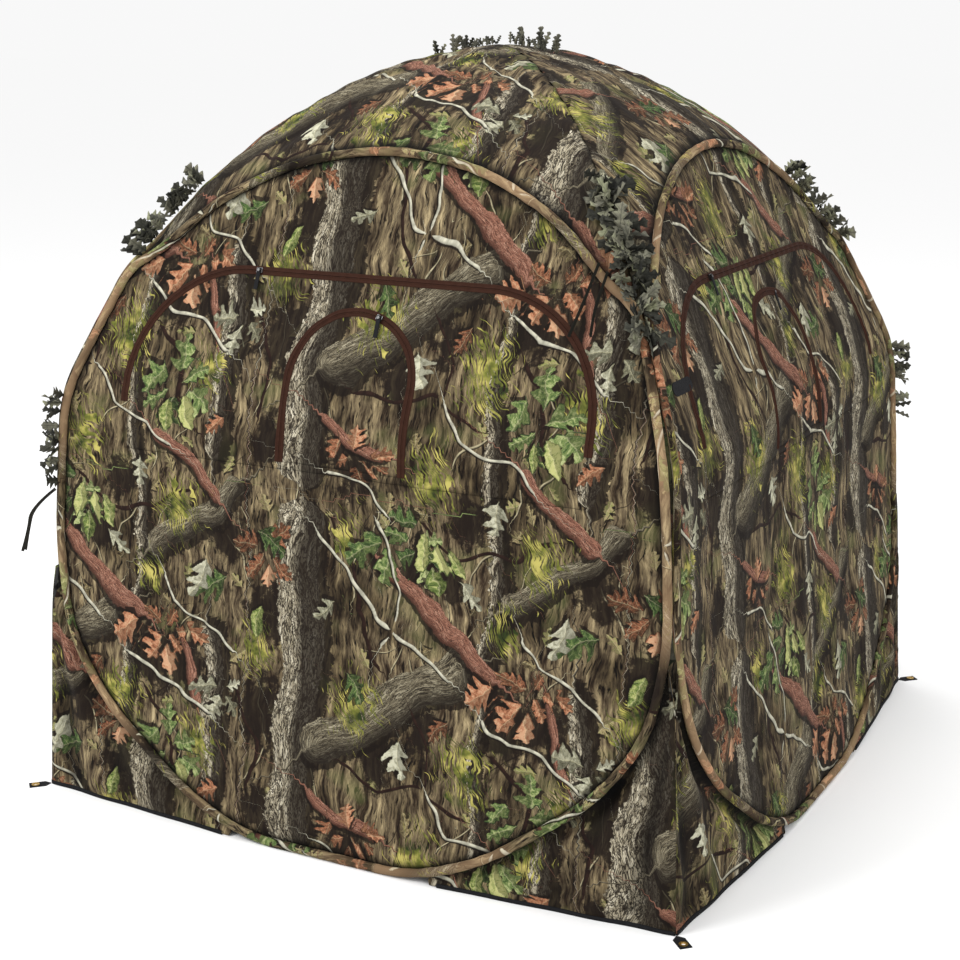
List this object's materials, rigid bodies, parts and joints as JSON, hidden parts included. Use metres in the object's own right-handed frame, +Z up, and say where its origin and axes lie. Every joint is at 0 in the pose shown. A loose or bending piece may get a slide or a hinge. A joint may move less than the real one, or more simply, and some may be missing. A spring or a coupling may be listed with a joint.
{
  "type": "pop up ground blind",
  "caption": "Square pop up hunting blind: sprung hoop walls and domed roof in woodland camouflage cloth, with zipped arched windows, shooting slots and a rear door.",
  "frame": {"origin": "on the ground at the centre of the square base", "axes": "+Z up to the apex, the front wall faces -Y, the right wall faces +X"},
  "size_m": [1.6174, 1.6174, 1.676],
  "materials": {
    "camo_cloth": "woodland print on matt polyester, black coated inside",
    "spring_steel": "oil tempered spring wire",
    "ferrule_steel": "crimped",
    "black_webbing": "woven webbing",
    "zip_tape": "dark brown coil zip and tape",
    "zip_metal": "dark enamel",
    "brass": "satin",
    "leaf_cloth": "die cut leaf strips"
  },
  "bodies": {
    "frame": {"wall_front": "camo_cloth", "wall_right": "camo_cloth", "wall_back": "camo_cloth", "wall_left": "camo_cloth", "roof_front": "camo_cloth", "roof_right": "camo_cloth", "roof_back": "camo_cloth", "roof_left": "camo_cloth", "hoop_front": "spring_steel", "hoop_right": "spring_steel", "hoop_back": "spring_steel", "hoop_left": "spring_steel", "hoop_sleeve_front": "camo_cloth", "hoop_sleeve_right": "camo_cloth", "hoop_sleeve_back": "camo_cloth", "hoop_sleeve_left": "camo_cloth", "hoop_ferrules": "ferrule_steel", "corner_skirt_front_right": "camo_cloth", "corner_skirt_back_right": "camo_cloth", "corner_skirt_back_left": "camo_cloth", "corner_skirt_front_left": "camo_cloth", "bottom_hem": "black_webbing", "stake_tabs": "black_webbing", "stake_rings": "brass", "corner_tabs": "black_webbing", "corner_leaves": "leaf_cloth", "apex_leaves": "leaf_cloth", "tie_ribbon_brow_1": "black_webbing", "tie_ribbon_brow_2": "black_webbing", "tie_ribbon_corner_1": "black_webbing", "tie_ribbon_corner_2": "black_webbing", "window_zip_front": "zip_tape", "window_zip_right": "zip_tape", "window_zip_left": "zip_tape", "door_zip": "zip_tape"},
    "window_flap_front": {"window_flap_front": "camo_cloth", "slot_zip_front": "zip_tape"},
    "slot_flap_front": {"slot_flap_front": "camo_cloth"},
    "window_slider_front": {"window_slider_front": "zip_metal"},
    "window_pull_front": {"window_pull_front": "black_webbing"},
    "slot_slider_front": {"slot_slider_front": "zip_metal"},
    "slot_pull_front": {"slot_pull_front": "black_webbing"},
    "window_flap_right": {"window_flap_right": "camo_cloth", "slot_zip_right": "zip_tape"},
    "slot_flap_right": {"slot_flap_right": "camo_cloth"},
    "window_slider_right": {"window_slider_right": "zip_metal"},
    "window_pull_right": {"window_pull_right": "black_webbing"},
    "slot_slider_right": {"slot_slider_right": "zip_metal"},
    "slot_pull_right": {"slot_pull_right": "black_webbing"},
    "window_flap_left": {"window_flap_left": "camo_cloth", "slot_zip_left": "zip_tape"},
    "slot_flap_left": {"slot_flap_left": "camo_cloth"},
    "window_slider_left": {"window_slider_left": "zip_metal"},
    "window_pull_left": {"window_pull_left": "black_webbing"},
    "slot_slider_left": {"slot_slider_left": "zip_metal"},
    "slot_pull_left": {"slot_pull_left": "black_webbing"},
    "door_flap": {"door_flap": "camo_cloth"},
    "door_slider": {"door_slider": "zip_metal"},
    "door_pull": {"door_pull": "black_webbing"}
  },
  "joints": [
    {"name": "window_front_drop", "type": "hinge", "parent": "frame", "child": "window_flap_front", "pos_m": [0, -0.72197, 0.8], "axis": [-1, 0, 0], "range_deg": [0, 160]},
    {"name": "slot_front_drop", "type": "hinge", "parent": "window_flap_front", "child": "slot_flap_front", "pos_m": [0, -0.7213, 0.815], "axis": [1, 0, 0], "range_deg": [-160, 0]},
    {"name": "window_front_zip", "type": "slide", "parent": "frame", "child": "window_slider_front", "axis": [1, 0, 0], "range_m": [-0.015, 0.53]},
    {"name": "window_front_pull_swing", "type": "hinge", "parent": "window_slider_front", "child": "window_pull_front", "pos_m": [-0.26, -0.60316, 1.18498], "axis": [0, -0.9253, 0.3794], "range_deg": [-80, 80]},
    {"name": "slot_front_zip", "type": "hinge", "parent": "window_flap_front", "child": "slot_slider_front", "pos_m": [0, -0.68472, 0.98605], "axis": [0, -0.9253, 0.3794], "range_deg": [-50, 85]},
    {"name": "slot_front_pull_swing", "type": "hinge", "parent": "slot_slider_front", "child": "slot_pull_front", "pos_m": [0.04721, -0.63271, 1.1129], "axis": [0, -0.9253, 0.3794], "range_deg": [-80, 80]},
    {"name": "window_right_drop", "type": "hinge", "parent": "frame", "child": "window_flap_right", "pos_m": [0.72197, 0, 0.8], "axis": [0, -1, 0], "range_deg": [0, 160]},
    {"name": "slot_right_drop", "type": "hinge", "parent": "window_flap_right", "child": "slot_flap_right", "pos_m": [0.7213, 0, 0.815], "axis": [0, 1, 0], "range_deg": [-160, 0]},
    {"name": "window_right_zip", "type": "slide", "parent": "frame", "child": "window_slider_right", "axis": [0, 1, 0], "range_m": [-0.015, 0.53]},
    {"name": "window_right_pull_swing", "type": "hinge", "parent": "window_slider_right", "child": "window_pull_right", "pos_m": [0.60316, -0.26, 1.18498], "axis": [0.9253, 0, 0.3794], "range_deg": [-80, 80]},
    {"name": "slot_right_zip", "type": "hinge", "parent": "window_flap_right", "child": "slot_slider_right", "pos_m": [0.68472, 0, 0.98605], "axis": [0.9253, 0, 0.3794], "range_deg": [-50, 85]},
    {"name": "slot_right_pull_swing", "type": "hinge", "parent": "slot_slider_right", "child": "slot_pull_right", "pos_m": [0.63271, 0.04721, 1.1129], "axis": [0.9253, 0, 0.3794], "range_deg": [-80, 80]},
    {"name": "window_left_drop", "type": "hinge", "parent": "frame", "child": "window_flap_left", "pos_m": [-0.72197, 0, 0.8], "axis": [0, 1, 0], "range_deg": [0, 160]},
    {"name": "slot_left_drop", "type": "hinge", "parent": "window_flap_left", "child": "slot_flap_left", "pos_m": [-0.7213, 0, 0.815], "axis": [0, -1, 0], "range_deg": [-160, 0]},
    {"name": "window_left_zip", "type": "slide", "parent": "frame", "child": "window_slider_left", "axis": [0, -1, 0], "range_m": [-0.015, 0.53]},
    {"name": "window_left_pull_swing", "type": "hinge", "parent": "window_slider_left", "child": "window_pull_left", "pos_m": [-0.60316, 0.26, 1.18498], "axis": [-0.9253, 0, 0.3794], "range_deg": [-80, 80]},
    {"name": "slot_left_zip", "type": "hinge", "parent": "window_flap_left", "child": "slot_slider_left", "pos_m": [-0.68472, 0, 0.98605], "axis": [-0.9253, 0, 0.3794], "range_deg": [-50, 85]},
    {"name": "slot_left_pull_swing", "type": "hinge", "parent": "slot_slider_left", "child": "slot_pull_left", "pos_m": [-0.63271, -0.04721, 1.1129], "axis": [-0.9253, 0, 0.3794], "range_deg": [-80, 80]},
    {"name": "door_drop", "type": "hinge", "parent": "frame", "child": "door_flap", "pos_m": [0, 0.78575, 0.11], "axis": [1, 0, 0], "range_deg": [0, 80]},
    {"name": "door_zip_run", "type": "slide", "parent": "frame", "child": "door_slider", "axis": [-1, 0, 0], "range_m": [-0.22, 0]},
    {"name": "door_pull_swing", "type": "hinge", "parent": "door_slider", "child": "door_pull", "pos_m": [-0.11, 0.55195, 1.30989], "axis": [0, 0.9253, 0.3794], "range_deg": [-80, 80]}
  ]
}
